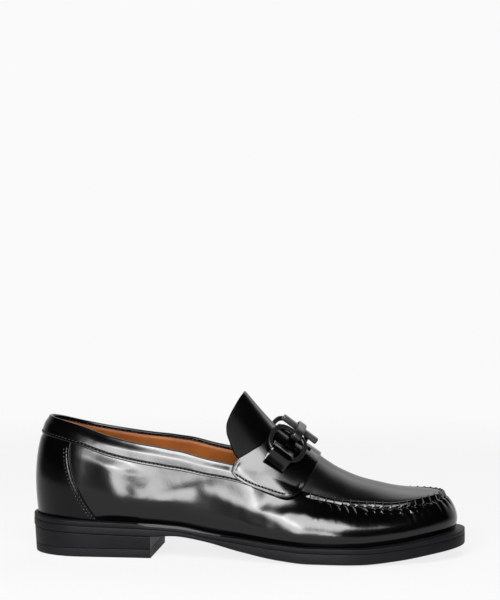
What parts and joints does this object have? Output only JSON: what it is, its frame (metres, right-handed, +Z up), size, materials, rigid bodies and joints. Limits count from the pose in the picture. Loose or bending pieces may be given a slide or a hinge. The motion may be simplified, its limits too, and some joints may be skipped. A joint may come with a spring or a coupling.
{
  "type": "loafer",
  "caption": "Right men's leather loafer with a raised moccasin seam round the apron, a high arched tongue, a saddle strap with a ring and bar ornament, and a low stacked heel.",
  "frame": {"origin": "on the floor under the middle of the shoe's bounding box", "axes": "+X from heel to toe, +Y to the inner (big toe) side, +Z up"},
  "size_m": [0.3, 0.107, 0.1129],
  "materials": {
    "upper_leather": "high polish",
    "sole": "semi-matt, edge inked",
    "top_piece": "matt",
    "footbed": "natural, smooth",
    "ornament": "satin"
  },
  "bodies": {
    "root": {"outsole": "sole", "welt": "sole", "heel_stack": "sole", "heel_top_piece": "top_piece", "insole": "footbed", "upper": "upper_leather", "tongue": "upper_leather", "collar_band": "upper_leather", "heel_counter": "upper_leather", "saddle_strap": "upper_leather", "strap_loop_outer": "upper_leather", "strap_loop_inner": "upper_leather", "ring_outer": "ornament", "ring_inner": "ornament", "bit_bar": "ornament", "bit_keeper": "ornament"}
  },
  "joints": []
}
